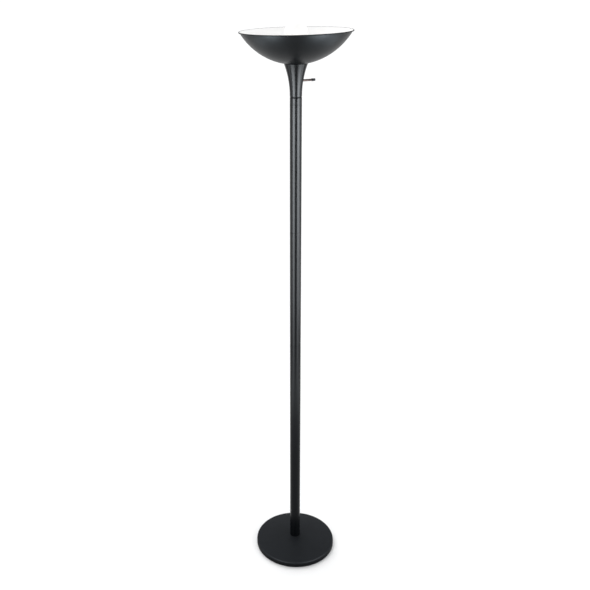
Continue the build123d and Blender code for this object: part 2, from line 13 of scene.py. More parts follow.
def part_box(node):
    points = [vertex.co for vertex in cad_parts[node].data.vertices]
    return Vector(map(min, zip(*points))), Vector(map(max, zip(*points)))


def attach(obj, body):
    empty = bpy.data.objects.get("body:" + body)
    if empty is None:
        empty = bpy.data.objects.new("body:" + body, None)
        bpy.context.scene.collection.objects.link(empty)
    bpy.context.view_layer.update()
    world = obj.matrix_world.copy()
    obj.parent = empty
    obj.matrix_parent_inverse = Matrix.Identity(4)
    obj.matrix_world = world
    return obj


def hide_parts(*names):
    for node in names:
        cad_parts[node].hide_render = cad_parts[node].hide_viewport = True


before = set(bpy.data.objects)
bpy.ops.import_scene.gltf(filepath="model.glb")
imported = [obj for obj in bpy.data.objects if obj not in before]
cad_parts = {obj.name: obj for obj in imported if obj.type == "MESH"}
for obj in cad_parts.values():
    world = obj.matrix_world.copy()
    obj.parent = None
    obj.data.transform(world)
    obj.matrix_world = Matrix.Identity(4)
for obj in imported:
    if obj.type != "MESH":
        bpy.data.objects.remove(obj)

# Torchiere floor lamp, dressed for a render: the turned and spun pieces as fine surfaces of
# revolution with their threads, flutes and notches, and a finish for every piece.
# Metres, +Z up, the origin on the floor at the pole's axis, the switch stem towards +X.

logging.basicConfig(level=logging.INFO, format="%(name)s: %(message)s")
log = logging.getLogger("lamp")

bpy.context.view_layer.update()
MM = 0.001
SCREW_PITCH = 3.63 * MM
MERGE_DISTANCE = 2e-7
DRILL_COLUMNS = 48

Colour = tuple[float, float, float]
Triple = tuple[float, float, float]
Term = Union["Wire", int, float]
Line = Sequence[tuple[float, float]]
Piece = bpy.types.Object


# --- Outlines and surfaces ---


def arc(centre: tuple[float, float], radius: float, start: float, end: float, steps: int) -> np.ndarray:
    """Points along a circle in the plane of radius and height.

    Each point is the centre plus the radius times (cos a, sin a), with a evenly spaced.

    Args:
        centre: The circle's centre, as radius and height.
        radius: The circle's radius.
        start: First angle, in radians from the outward direction towards +Z.
        end: Last angle.
        steps: Number of spans between the points.

    Returns:
        An array of steps + 1 points.
    """
    angle = np.linspace(start, end, steps + 1)
    return np.array(centre) + radius * np.stack([np.cos(angle), np.sin(angle)], axis=1)


def rounded(corners: Sequence[Triple], steps: int = 4) -> np.ndarray:
    """A closed polygon whose corners are arcs.

    With a and b the unit vectors from a corner to its neighbours and h half the angle between
    them, the arc's centre lies radius / sin h along a + b, and the arc runs between the points
    radius / tan h along each side. Its points turn evenly from one to the other.

    Args:
        corners: Radius, height and rounding of each corner, in order.
        steps: Number of spans on each corner's arc.

    Returns:
        The outline's points, steps + 1 for each corner.
    """
    table = np.array(corners, float)
    here, radius = table[:, :2], np.maximum(table[:, 2:], 1e-6)
    back = np.roll(here, 1, axis=0) - here
    ahead = np.roll(here, -1, axis=0) - here
    back /= np.linalg.norm(back, axis=1, keepdims=True)
    ahead /= np.linalg.norm(ahead, axis=1, keepdims=True)
    half = np.arccos(np.clip((back * ahead).sum(axis=1, keepdims=True), -1, 1)) / 2
    middle = back + ahead
    centre = here + middle / np.linalg.norm(middle, axis=1, keepdims=True) * radius / np.sin(half)
    first = here + back * radius / np.tan(half) - centre
    last = here + ahead * radius / np.tan(half) - centre
    turn = math.pi - 2 * half[:, None]
    share = np.linspace(0, 1, steps + 1)[None, :, None]
    swing = np.sin((1 - share) * turn) * first[:, None] + np.sin(share * turn) * last[:, None]
    return (centre[:, None] + swing / np.sin(turn)).reshape(-1, 2)


@dataclass(frozen=True)
class Spindle:
    """The axis that an outline is turned round: height runs along it, radius away from it."""

    origin: Triple = (0.0, 0.0, 0.0)
    along: Triple = (0.0, 0.0, 1.0)
    side: Triple = (1.0, 0.0, 0.0)

    @classmethod
    def level(cls, node: str, along: Triple, side: Triple) -> "Spindle":
        """A level axis that crosses the lamp's own at the height of a node's middle."""
        span = Span.of(node)
        return cls((0.0, 0.0, (span.bottom + span.top) / 2), along, side)

    def turn(self, outline: np.ndarray, columns: int, radius: Optional[np.ndarray] = None) -> np.ndarray:
        """A surface of revolution, as a grid of points.

        Point (i, j) is the origin, plus the outline's height i along the axis, plus its radius
        times (side cos t + up sin t), where t is j turns divided by the columns.

        Args:
            outline: Radius and height of each row.
            columns: Points round the axis.
            radius: Radius at each row and column, where it isn't the same all round.

        Returns:
            Rows by columns by 3 coordinates.
        """
        along, side = np.array(self.along), np.array(self.side)
        up = np.cross(along, side)
        angle = np.arange(columns) * 2 * math.pi / columns
        ring = np.outer(np.cos(angle), side) + np.outer(np.sin(angle), up)
        spread = outline[:, :1] if radius is None else radius
        return np.array(self.origin) + outline[:, 1, None, None] * along + spread[..., None] * ring[None]


def shape(name: str, grid: np.ndarray, sharp: float = 32.0, slots: Optional[np.ndarray] = None) -> Piece:
    """A closed mesh from a grid of points that wraps round both ways.

    Face (i, j) joins the points (i, j), (i, j + 1), (i + 1, j + 1) and (i + 1, j), with the last
    row joined to the first. Points that fall together on the axis are merged.

    Args:
        name: The piece's name.
        grid: Rows by columns by 3 coordinates.
        sharp: Edges that turn by more than this many degrees stay sharp.
        slots: Material slot of each row's faces, where there is more than one.

    Returns:
        The object, at the origin, with its place in its mesh.
    """
    rows, columns = grid.shape[:2]
    index = np.arange(rows * columns).reshape(rows, columns)
    below = np.roll(index, -1, axis=0)
    faces = np.stack([index, np.roll(index, -1, 1), np.roll(below, -1, 1), below], axis=-1)
    mesh = bpy.data.meshes.new(name)
    mesh.from_pydata(grid.reshape(-1, 3), [], faces.reshape(-1, 4))
    if slots is not None:
        mesh.polygons.foreach_set("material_index", np.repeat(slots, columns).astype(np.int32))
    work = bmesh.new()
    work.from_mesh(mesh)
    bmesh.ops.remove_doubles(work, verts=work.verts, dist=MERGE_DISTANCE)
    bmesh.ops.recalc_face_normals(work, faces=work.faces)
    work.to_mesh(mesh)
    work.free()
    piece = stand(name, mesh)
    soften(piece, sharp)
    return piece


def stand(name: str, data: bpy.types.ID) -> Piece:
    """Puts a new object in the scene.

    Args:
        name: The object's name.
        data: Its mesh, light or camera.

    Returns:
        The object.
    """
    made = bpy.data.objects.new(name, data)
    bpy.context.scene.collection.objects.link(made)
    return made


def soften(piece: Piece, sharp: float) -> None:
    """Shades a piece smooth, but for edges that turn by more than sharp degrees."""
    piece.data.shade_smooth()
    piece.data.set_sharp_from_angle(angle=math.radians(sharp))


def drill(
    piece: Piece, spindle: Spindle, radius: float, start: float, end: float, sharp: float = 32.0
) -> None:
    """Cuts a round hole through a piece's wall.

    Args:
        piece: The piece, whose mesh is replaced by the cut one.
        spindle: The hole's axis.
        radius: The hole's radius.
        start: Where the cut starts, along the axis.
        end: Where it ends.
        sharp: As for shape.
    """
    outline = np.array([(0, start), (radius, start), (radius, end), (0, end)])
    cutter = shape("cutter", spindle.turn(outline, DRILL_COLUMNS))
    cut = piece.modifiers.new("hole", "BOOLEAN")
    cut.operation, cut.solver, cut.object = "DIFFERENCE", "EXACT", cutter
    graph = bpy.context.evaluated_depsgraph_get()
    mesh = bpy.data.meshes.new_from_object(piece.evaluated_get(graph))
    piece.modifiers.clear()
    piece.data = mesh
    bpy.data.objects.remove(cutter)
    soften(piece, sharp)


def thread_depth(height: np.ndarray, columns: int, pitch: float, depth: float, fade: float) -> np.ndarray:
    """Depth of a rounded screw thread below its crest.

    At height h and turn t the depth is half of depth times 1 - cos(2 pi (h / pitch - t)), and
    it shrinks to nothing within fade of either end of the heights.

    Args:
        height: Height of each row.
        columns: Points round the axis.
        pitch: Height of one turn of the thread.
        depth: Depth of the groove.
        fade: Height over which the thread runs out.

    Returns:
        Rows by columns of depths.
    """
    turn = np.arange(columns) / columns
    wave = 0.5 - 0.5 * np.cos(2 * math.pi * (height[:, None] / pitch - turn[None]))
    ends = np.minimum(height - height.min(), height.max() - height) / fade
    return depth * wave * np.clip(ends, 0, 1)[:, None]


def notched_edge(radius: float, notch: float, count: int, columns: int) -> np.ndarray:
    """The radius of a round edge with round notches cut into it.

    At angle a from a notch's middle it is the root of R squared minus (R sin a) squared, less
    the root of n squared minus (R sin a) squared, where R is the edge's radius and n the
    notch's. Between the notches it is R.

    Args:
        radius: The edge's radius.
        notch: The notches' radius.
        count: How many there are.
        columns: Points round the axis.

    Returns:
        The radius at each column.
    """
    angle = (np.arange(columns) / columns * count + 0.5) % 1.0 - 0.5
    side = radius * np.sin(angle * 2 * math.pi / count)
    reach = np.sqrt(np.maximum(notch**2 - side**2, 0))
    across = np.sqrt(np.maximum(radius**2 - side**2, 0)) - reach
    return np.where(np.abs(side) < notch, across, radius)


def upright(radius: float, heights: np.ndarray) -> np.ndarray:
    """Points at one radius and these heights."""
    return np.stack([np.full(len(heights), radius), heights], axis=1)


# --- Shader maths ---


class Wire:
    """An output of a node, which Python's operators work on by adding Math nodes."""

    def __init__(self, sheet: "Sheet", socket: bpy.types.NodeSocket) -> None:
        """Wraps one output socket of a sheet's node tree."""
        self.sheet = sheet
        self.socket = socket

    def _math(self, operation: str, *values: Term) -> "Wire":
        """The result of a Math node with this operation on these values."""
        return self.sheet.node("ShaderNodeMath", {"operation": operation}, dict(enumerate(values)))

    def __add__(self, other: Term) -> "Wire":
        """This plus other."""
        return self._math("ADD", self, other)

    __radd__ = __add__

    def __sub__(self, other: Term) -> "Wire":
        """This minus other."""
        return self._math("SUBTRACT", self, other)

    def __rsub__(self, other: Term) -> "Wire":
        """Other minus this."""
        return self._math("SUBTRACT", other, self)

    def __mul__(self, other: Term) -> "Wire":
        """This times other."""
        return self._math("MULTIPLY", self, other)

    __rmul__ = __mul__

    def step(self, low: float, high: float) -> "Wire":
        """0 at low and below, 1 at high and above, and a smooth ramp between."""
        inputs = {"Value": self, "From Min": low, "From Max": high}
        return self.sheet.node("ShaderNodeMapRange", {"interpolation_type": "SMOOTHSTEP"}, inputs)


class Sheet:
    """The node tree of one material or of the world, and the ways that nodes are added to it."""

    def __init__(self, owner: Union[bpy.types.Material, bpy.types.World]) -> None:
        """Empties the owner's node tree and keeps it.

        Args:
            owner: The material or the world.
        """
        owner.use_nodes = True
        self.tree = owner.node_tree
        self.tree.nodes.clear()

    def node(
        self,
        kind: str,
        settings: Optional[dict[str, Any]] = None,
        inputs: Optional[dict[Union[str, int], Any]] = None,
        output: Union[str, int] = 0,
    ) -> Wire:
        """Adds a node.

        Args:
            kind: The node's type.
            settings: Its properties, set first.
            inputs: A value or a wire for each named or numbered input.
            output: The output to return.

        Returns:
            A wire from that output.
        """
        made = self.tree.nodes.new(kind)
        for name, value in (settings or {}).items():
            setattr(made, name, value)
        for name, value in (inputs or {}).items():
            if isinstance(value, Wire):
                self.tree.links.new(value.socket, made.inputs[name])
            elif isinstance(value, tuple) and made.inputs[name].type == "RGBA":
                made.inputs[name].default_value = (*value, 1.0)
            else:
                made.inputs[name].default_value = value
        return Wire(self, made.outputs[output] if made.outputs else None)

    def place(self, stretch: Optional[Triple] = None) -> Wire:
        """Object coordinates.

        Args:
            stretch: What each of them is multiplied by, where it isn't 1.

        Returns:
            A wire with the coordinates, in metres.
        """
        here = self.node("ShaderNodeTexCoord", output="Object")
        if stretch is None:
            return here
        return self.node("ShaderNodeVectorMath", {"operation": "MULTIPLY"}, {0: here, 1: stretch})

    def axis(self, name: str) -> Wire:
        """One Object coordinate: X, Y or Z."""
        return self.node("ShaderNodeSeparateXYZ", {}, {0: self.place()}, name)

    def noise(self, size: float, detail: float = 2.0, stretch: Optional[Triple] = None) -> Wire:
        """Soft noise from 0 to 1 whose patches are about size metres across."""
        inputs = {"Vector": self.place(stretch), "Scale": 1.0 / size, "Detail": detail, "Roughness": 0.55}
        return self.node("ShaderNodeTexNoise", {}, inputs, "Fac")

    def blend(self, share: Wire, first: Union[Wire, Colour], second: Union[Wire, Colour]) -> Wire:
        """The first colour where share is 0, the second where it is 1."""
        settings = {"data_type": "RGBA", "clamp_factor": True}
        return self.node("ShaderNodeMix", settings, {0: share, 6: first, 7: second}, 2)

    def bump(self, height: Wire, depth: float) -> Wire:
        """The normal of a surface raised by height times depth metres."""
        return self.node("ShaderNodeBump", {}, {"Height": height, "Strength": 1.0, "Distance": depth})

    def skin(self, **inputs: Any) -> None:
        """Adds a Principled shader, joined to the output.

        Args:
            inputs: Its inputs by name, with underscores for spaces.
        """
        values = {name.replace("_", " "): value for name, value in inputs.items()}
        surface = self.node("ShaderNodeBsdfPrincipled", {}, values)
        self.node("ShaderNodeOutputMaterial", {}, {"Surface": surface})


class Finish:
    """A finish that builds its material once and gives the same one again."""

    name: str

    def lay(self, sheet: Sheet) -> None:
        """Adds the finish's nodes to an empty sheet."""
        raise NotImplementedError

    def material(self) -> bpy.types.Material:
        """Makes the finish's material the first time that it is asked for.

        Returns:
            The material.
        """
        found = bpy.data.materials.get(self.name)
        if found is None:
            found = bpy.data.materials.new(self.name)
            self.lay(Sheet(found))
        return found


@dataclass(frozen=True)
class SatinPaint(Finish):
    """Black powder coat: a fine orange peel, faint mottling and rubbed lower edges.

    Above a given height the colour is painted lighter: painted light on the top, which leaves the side
    below it darker.
    """

    name: str = "satin_black_paint"
    colour: Colour = (0.0016, 0.0022, 0.0030)
    rubbed: Colour = (0.030, 0.030, 0.031)
    roughness: float = 0.25
    gloss: float = 0.105
    peel_size: float = 0.9 * MM
    peel_depth: float = 0.0022 * MM
    rub_height: float = 4 * MM
    # Painted light: the lighter colour above a height, and where it starts and fades in.
    top_light: Colour = (0.0, 0.0, 0.0)
    top_light_above: float = math.inf
    top_light_fades: float = 4 * MM

    def lay(self, sheet: Sheet) -> None:
        """Adds the paint's colour, roughness and bump.

        Args:
            sheet: The material's empty sheet.
        """
        cloud = sheet.noise(55 * MM, 3.0)
        speck = sheet.noise(1.6 * MM, 2.0)
        scuff = sheet.noise(9 * MM, 4.0, (1.0, 1.0, 3.0)).step(0.56, 0.72)
        low = 1.0 - sheet.axis("Z").step(1.0 * MM, self.rub_height)
        rub = scuff * low
        dark, light = (tuple(share * c for c in self.colour) for share in (0.82, 1.22))
        shade = sheet.blend(cloud * 0.7 + speck * 0.3, dark, light)
        # Painted light: above the height the paint turns lighter, so a top is brighter than the side under
        # it.
        if math.isfinite(self.top_light_above):
            top_lit = sheet.axis("Z").step(self.top_light_above - self.top_light_fades, self.top_light_above)
            shade = sheet.blend(top_lit * (0.8 + (cloud - 0.5) * 0.5), shade, self.top_light)
        peel = sheet.noise(self.peel_size, 1.0)
        sheet.skin(
            Base_Color=sheet.blend(rub * 0.7, shade, self.rubbed),
            Roughness=self.roughness + (cloud - 0.5) * 0.05 + (speck - 0.5) * 0.03 + rub * 0.15,
            Specular_IOR_Level=self.gloss,
            Normal=sheet.bump(peel, self.peel_depth),
        )


@dataclass(frozen=True)
class Enamel(Finish):
    """White enamel inside the bowl, with painted shade low down near the bulb: darker and a little warmer
    there.
    """

    name: str = "white_enamel"
    colour: Colour = (0.92, 0.917, 0.912)
    # Painted shade: the darker, warmer enamel colour low in the bowl, and the height where it ends.
    shade_colour: Colour = (0.68, 0.665, 0.63)
    shade_below: float = 1.765
    roughness: float = 0.38

    def lay(self, sheet: Sheet) -> None:
        """Adds the enamel's colour, roughness and bump.

        Args:
            sheet: The material's empty sheet.
        """
        cloud = sheet.noise(30 * MM, 3.0)
        # Painted shade: the enamel's colour darkens towards the bottom of the bowl.
        low_shade = 1.0 - sheet.axis("Z").step(self.shade_below - 50 * MM, self.shade_below)
        shade = sheet.blend(low_shade * (0.85 + (cloud - 0.5) * 0.5), self.colour, self.shade_colour)
        sheet.skin(
            Base_Color=shade,
            Roughness=self.roughness + (cloud - 0.5) * 0.08,
            Specular_IOR_Level=0.4,
            Normal=sheet.bump(sheet.noise(1.1 * MM, 1.0), 0.004 * MM),
        )


@dataclass(frozen=True)
class CastIron(Finish):
    """Sand-cast iron under a thin black wash, with brown showing in the pits."""

    name: str = "sand_cast_iron"
    dark: Colour = (0.030, 0.029, 0.028)
    light: Colour = (0.075, 0.070, 0.066)
    rust: Colour = (0.13, 0.062, 0.030)

    def lay(self, sheet: Sheet) -> None:
        """Adds the casting's colour, roughness and bump.

        Args:
            sheet: The material's empty sheet.
        """
        grain = sheet.noise(1.3 * MM, 4.0)
        patch = sheet.noise(26 * MM, 4.0)
        brown = patch.step(0.52, 0.70) * grain.step(0.40, 0.62)
        iron = sheet.blend(grain, self.dark, self.light)
        sheet.skin(
            Base_Color=sheet.blend(brown * 0.6, iron, self.rust),
            Roughness=0.62 + (grain - 0.5) * 0.3,
            Metallic=0.35,
            Normal=sheet.bump(grain + patch * 0.6, 0.35 * MM),
        )


@dataclass(frozen=True)
class Foam(Finish):
    """Closed-cell foam sheet: small cells and a slightly scuffed skin."""

    name: str = "foam_sheet"
    dark: Colour = (0.016, 0.016, 0.017)
    light: Colour = (0.048, 0.047, 0.046)
    cell: float = 0.9 * MM

    def lay(self, sheet: Sheet) -> None:
        """Adds the foam's colour, roughness and bump.

        Args:
            sheet: The material's empty sheet.
        """
        inputs = {"Vector": sheet.place(), "Scale": 1 / self.cell}
        cells = sheet.node("ShaderNodeTexVoronoi", {"feature": "F1"}, inputs, "Distance")
        patch = sheet.noise(18 * MM, 3.0)
        sheet.skin(
            Base_Color=sheet.blend(cells * 0.5 + patch * 0.5, self.dark, self.light),
            Roughness=0.88 + (patch - 0.5) * 0.12,
            Specular_IOR_Level=0.25,
            Normal=sheet.bump(cells, 0.12 * MM),
        )


@dataclass(frozen=True)
class PlatedSteel(Finish):
    """Zinc-plated steel with clouded patches and fine turning marks."""

    name: str = "zinc_plated_steel"
    bright: Colour = (0.60, 0.60, 0.58)
    dull: Colour = (0.42, 0.42, 0.40)
    roughness: float = 0.34

    def lay(self, sheet: Sheet) -> None:
        """Adds the plating's colour, roughness and bump.

        Args:
            sheet: The material's empty sheet.
        """
        cloud = sheet.noise(5 * MM, 4.0)
        lines = sheet.noise(0.5 * MM, 2.0, (0.15, 0.15, 1.0))
        sheet.skin(
            Base_Color=sheet.blend(cloud.step(0.35, 0.68), self.bright, self.dull),
            Roughness=self.roughness + (cloud - 0.5) * 0.22,
            Metallic=1.0,
            Normal=sheet.bump(lines, 0.006 * MM),
        )


@dataclass(frozen=True)
class TurnedMetal(Finish):
    """Bare drawn or turned metal: faint rings round its axis and a slight tarnish."""

    name: str
    bright: Colour
    tarnished: Colour
    roughness: float = 0.26
    ring: Triple = (0.12, 0.12, 1.0)

    def lay(self, sheet: Sheet) -> None:
        """Adds the metal's colour, roughness and bump.

        Args:
            sheet: The material's empty sheet.
        """
        rings = sheet.noise(0.7 * MM, 2.0, self.ring)
        stain = sheet.noise(6 * MM, 4.0).step(0.42, 0.75)
        sheet.skin(
            Base_Color=sheet.blend(stain, self.bright, self.tarnished),
            Roughness=self.roughness + stain * 0.14 + (rings - 0.5) * 0.1,
            Metallic=1.0,
            Normal=sheet.bump(rings, 0.008 * MM),
        )


@dataclass(frozen=True)
class Moulding(Finish):
    """Moulded plastic: a spark-eroded grain and faint flow clouds."""

    name: str
    colour: Colour
    roughness: float = 0.46
    grain_size: float = 0.35 * MM
    grain_depth: float = 0.008 * MM
    gloss: float = 0.45

    def lay(self, sheet: Sheet) -> None:
        """Adds the plastic's colour, roughness and bump.

        Args:
            sheet: The material's empty sheet.
        """
        flow = sheet.noise(14 * MM, 3.0)
        grain = sheet.noise(self.grain_size, 1.0)
        dark, light = (tuple(share * c for c in self.colour) for share in (0.90, 1.08))
        sheet.skin(
            Base_Color=sheet.blend(flow, dark, light),
            Roughness=self.roughness + (flow - 0.5) * 0.12,
            Specular_IOR_Level=self.gloss,
            Normal=sheet.bump(grain, self.grain_depth),
        )


@dataclass(frozen=True)
class Diffuser(Finish):
    """Frosted bulb globe, lit from within and a touch dimmer towards its joint."""

    name: str = "lit_frosted_globe"
    colour: Colour = (0.865, 0.86, 0.848)
    glow: Colour = (1.0, 0.995, 0.985)
    power: float = 0.2
    joint_height: float = 1.782
    full_height: float = 1.800

    def lay(self, sheet: Sheet) -> None:
        """Adds the globe's colour, glow and bump.

        Args:
            sheet: The material's empty sheet.
        """
        frost = sheet.noise(0.5 * MM, 2.0)
        rise = sheet.axis("Z").step(self.joint_height, self.full_height)
        dim = tuple(0.62 * c for c in self.glow)
        sheet.skin(
            Base_Color=sheet.blend(frost, tuple(0.97 * c for c in self.colour), self.colour),
            Roughness=0.42 + (frost - 0.5) * 0.1,
            Emission_Color=sheet.blend(rise, dim, self.glow),
            Emission_Strength=self.power,
            Normal=sheet.bump(frost, 0.006 * MM),
        )


class Dress(Enum):
    """The finishes that the lamp's pieces wear."""

    PAINT = SatinPaint()
    BOWL_PAINT = SatinPaint("smooth_black_paint", (0.0010, 0.0018, 0.0026), roughness=0.36, gloss=0.11)
    BASE_PAINT = SatinPaint(
        "textured_black_paint",
        (0.0045, 0.0052, 0.0062),
        roughness=0.46,
        gloss=0.045,
        peel_size=1.3 * MM,
        peel_depth=0.02 * MM,
        # Painted light: the base's top, above the skirt, is painted lighter than its side.
        top_light=(0.0150, 0.0168, 0.0195),
        top_light_above=18.5 * MM,
    )
    ENAMEL = Enamel()
    IRON = CastIron()
    FOAM = Foam()
    STEEL = PlatedSteel()
    ALUMINIUM = TurnedMetal("drawn_aluminium", (0.80, 0.80, 0.80), (0.62, 0.62, 0.61))
    BRASS = TurnedMetal("turned_brass", (0.75, 0.58, 0.30), (0.50, 0.36, 0.17))
    STEM = TurnedMetal(
        "bronzed_stem", (0.038, 0.028, 0.026), (0.025, 0.018, 0.017), 0.50, (1.0, 0.12, 0.12)
    )
    KNOB = Moulding("knob_plastic", (0.010, 0.010, 0.011), gloss=0.12)
    GLAND = Moulding("gland_plastic", (0.014, 0.014, 0.015), gloss=0.2)
    SOCKET = Moulding("socket_phenolic", (0.030, 0.027, 0.025), 0.40, gloss=0.3)
    GASKET = Moulding("gasket_rubber", (0.028, 0.028, 0.028), 0.75, 0.6 * MM, 0.02 * MM, 0.3)
    HOUSING = Moulding("bulb_housing_plastic", (0.84, 0.84, 0.82), 0.40)
    DIFFUSER = Diffuser()
    INSULATOR = Moulding("bulb_insulator_glass", (0.012, 0.012, 0.014), 0.12, 1.2 * MM, 0.004 * MM, 0.5)

    def material(self) -> bpy.types.Material:
        """The finish's material."""
        return self.value.material()


# --- Joining pieces to the frame ---


def seat(piece: Piece, body: str, slot: str, node: str, *finishes: Dress) -> None:
    """Dresses a new piece and lets it stand for a node.

    Args:
        piece: The new piece.
        body: The body that it rides on.
        slot: The name of its slot; not used.
        node: The node that it replaces.
        finishes: The finish of each of its material slots, in order.
    """
    for finish in finishes:
        piece.data.materials.append(finish.material())
    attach(piece, body)
    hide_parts(node)
    log.info("%s rides on %s and stands for %s", piece.name, body, node)


def paint_nodes(finish: Dress, *nodes: str) -> None:
    """Dresses nodes that keep their own mesh.

    Args:
        finish: The finish that they wear.
        nodes: Their names.
    """
    for name in nodes:
        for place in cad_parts[name].material_slots:
            place.material = finish.material()
        log.info("%s wears %s", name, finish.name.lower())


def numbered(stem: str) -> list[str]:
    """The names of the nodes that start with stem, in order."""
    return sorted(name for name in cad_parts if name.startswith(stem))


@dataclass(frozen=True)
class Span:
    """A node's extent: its lowest and highest corners at rest."""

    low: Vector
    high: Vector

    @classmethod
    def of(cls, node: str) -> "Span":
        """The span of a node."""
        return cls(*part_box(node))

    @property
    def bottom(self) -> float:
        """Height of its lowest point."""
        return self.low.z

    @property
    def top(self) -> float:
        """Height of its highest point."""
        return self.high.z

    @property
    def radius(self) -> float:
        """Half its width along X."""
        return (self.high.x - self.low.x) / 2


# --- Base ---


@dataclass
class Base:
    """Stamped cover, cast weight, foam pad, the nut that holds the pole and the cord's gland."""

    wall: float = 1.2 * MM
    edge_height: float = 19 * MM
    edge_round: float = 6 * MM
    crown_radius: float = 22 * MM
    hole_radius: float = 5.6 * MM
    hem_round: float = 0.45 * MM
    gland_bore: float = 2.75 * MM
    gland_body: float = 3.9 * MM
    gland_hole: float = 4.0 * MM
    gland_columns: int = 72
    pipe_bore: float = 3.4 * MM
    pipe_pitch: float = 1.0 * MM
    pipe_thread: float = 0.45 * MM
    pipe_rows_per_turn: int = 7
    pipe_columns: int = 40
    hem_steps: int = 4
    edge_steps: int = 14
    dome_steps: int = 40
    columns: int = 288

    def cover_outline(self) -> np.ndarray:
        """The cover's closed section: skirt, rounded edge and dome, then the same inside.

        The dome is a sphere through the edge and the crown, and the round edge is tangent to
        it and to the skirt. The inner line has the same centres and radii less by the wall.

        Returns:
            Radius and height of each point.
        """
        span = Span.of("base_cover")
        rise = span.top - self.edge_height
        drop = (span.radius**2 - self.crown_radius**2 - rise**2) / (2 * rise)
        centre = self.edge_height - drop
        sphere = math.hypot(drop, span.radius)
        hub = span.radius - self.edge_round
        knee = centre + math.sqrt((sphere - self.edge_round) ** 2 - hub**2)
        lean = math.atan2(knee - centre, hub)
        flat = span.top - centre
        outer_end = math.acos(self.crown_radius / sphere)
        inner_end = math.asin((flat - self.wall) / (sphere - self.wall))
        hem = self.hem_round
        outer_hem = (span.radius - hem, span.bottom + hem)
        inner_hem = (span.radius - self.wall + hem, span.bottom + hem)
        return np.concatenate(
            [
                arc(outer_hem, hem, -math.pi / 2, 0, self.hem_steps),
                arc((hub, knee), self.edge_round, 0, lean, self.edge_steps),
                arc((0, centre), sphere, lean, outer_end, self.dome_steps)[1:],
                [(self.hole_radius, span.top), (self.hole_radius, span.top - self.wall)],
                arc((0, centre), sphere - self.wall, inner_end, lean, self.dome_steps),
                arc((hub, knee), self.edge_round - self.wall, lean, 0, self.edge_steps)[1:],
                arc(inner_hem, hem, math.pi, 1.5 * math.pi, self.hem_steps),
            ]
        )

    def gland_axis(self) -> Spindle:
        """The gland's axis, towards +Y."""
        return Spindle.level("cord_gland", (0.0, 1.0, 0.0), (1.0, 0.0, 0.0))

    def gland(self) -> Piece:
        """Makes the snap-in gland, with a dished flange, turned round its own axis.

        Returns:
            The gland.
        """
        span = Span.of("cord_gland")
        inner, outer = span.low.y, span.high.y
        skirt = Span.of("base_cover").high.y
        barb = skirt - self.wall - 0.3 * MM
        flange = (span.top - span.bottom) / 2
        corners = [
            (self.gland_bore, inner, 0.2 * MM),
            (self.gland_body, inner, 0.3 * MM),
            (self.gland_body, barb - 1.8 * MM, 0.1 * MM),
            (self.gland_body + 0.6 * MM, barb, 0.1 * MM),
            (self.gland_body, barb, 0.1 * MM),
            (self.gland_body, skirt, 0.05 * MM),
            (flange, skirt, 0.15 * MM),
            (flange - 0.15 * MM, skirt + 0.8 * MM, 0.4 * MM),
            (self.gland_body, outer, 0.35 * MM),
            (self.gland_bore, outer, 0.3 * MM),
        ]
        return shape("cord_gland_ring", self.gland_axis().turn(rounded(corners), self.gland_columns))

    def foot_pipe(self) -> Piece:
        """Makes the pipe that holds the pole, with a screw thread over its whole length.

        Returns:
            The pipe.
        """
        span = Span.of("base_pipe")
        rows = int((span.top - span.bottom) / self.pipe_pitch * self.pipe_rows_per_turn)
        height = np.linspace(span.bottom, span.top, rows)
        inner = [(self.pipe_bore, span.top), (self.pipe_bore, span.bottom)]
        outline = np.concatenate([upright(span.radius, height), inner])
        radius = np.repeat(outline[:, :1], self.pipe_columns, axis=1)
        run_out = 0.6 * self.pipe_pitch
        radius[:rows] -= thread_depth(height, self.pipe_columns, self.pipe_pitch, self.pipe_thread, run_out)
        return shape("base_pipe_thread", Spindle().turn(outline, self.pipe_columns, radius), sharp=50)

    def build(self) -> None:
        """Makes the cover, the gland and the threaded foot pipe, and dresses the rest."""
        cover = shape("base_shell", Spindle().turn(self.cover_outline(), self.columns))
        skirt = Span.of("base_cover").radius
        drill(cover, self.gland_axis(), self.gland_hole, skirt - 4 * self.wall, skirt + 4 * self.wall)
        seat(cover, "lamp", "black_paint", "base_cover", Dress.BASE_PAINT)
        seat(self.gland(), "lamp", "black_plastic", "cord_gland", Dress.GLAND)
        seat(self.foot_pipe(), "lamp", "zinc_steel", "base_pipe", Dress.STEEL)
        paint_nodes(Dress.IRON, "base_weight")
        paint_nodes(Dress.FOAM, "floor_pad")
        paint_nodes(Dress.STEEL, "base_washer", "base_lock_washer", "base_nut")


# --- Pole ---


@dataclass
class Pole:
    """The tubes that stand on each other, each with a small bevel at its ends."""

    wall: float = 1.0 * MM
    bevel: float = 0.4 * MM
    columns: int = 192
    rows: int = 24

    def tube(self, node: str) -> Piece:
        """Makes one tube: a closed ring section turned round the lamp's axis.

        Args:
            node: The tube's node.

        Returns:
            The tube.
        """
        span = Span.of(node)
        inner, edge = span.radius - self.wall, span.radius - self.bevel
        height = np.linspace(span.bottom + self.bevel, span.top - self.bevel, self.rows)
        foot, head = [(inner, span.bottom), (edge, span.bottom)], [(edge, span.top), (inner, span.top)]
        outline = np.concatenate([foot, upright(span.radius, height), head])
        return shape(node.replace("section", "tube"), Spindle().turn(outline, self.columns))

    def build(self) -> None:
        """Makes the tubes and dresses what joins them."""
        for node in numbered("pole_section_"):
            seat(self.tube(node), "lamp", "black_paint", node, Dress.PAINT)
        hidden = numbered("lower_insert_") + numbered("upper_insert_") + numbered("joint_pipe_")
        paint_nodes(Dress.STEEL, "foot_insert", "top_insert", *hidden)


# --- Collar and neck ---


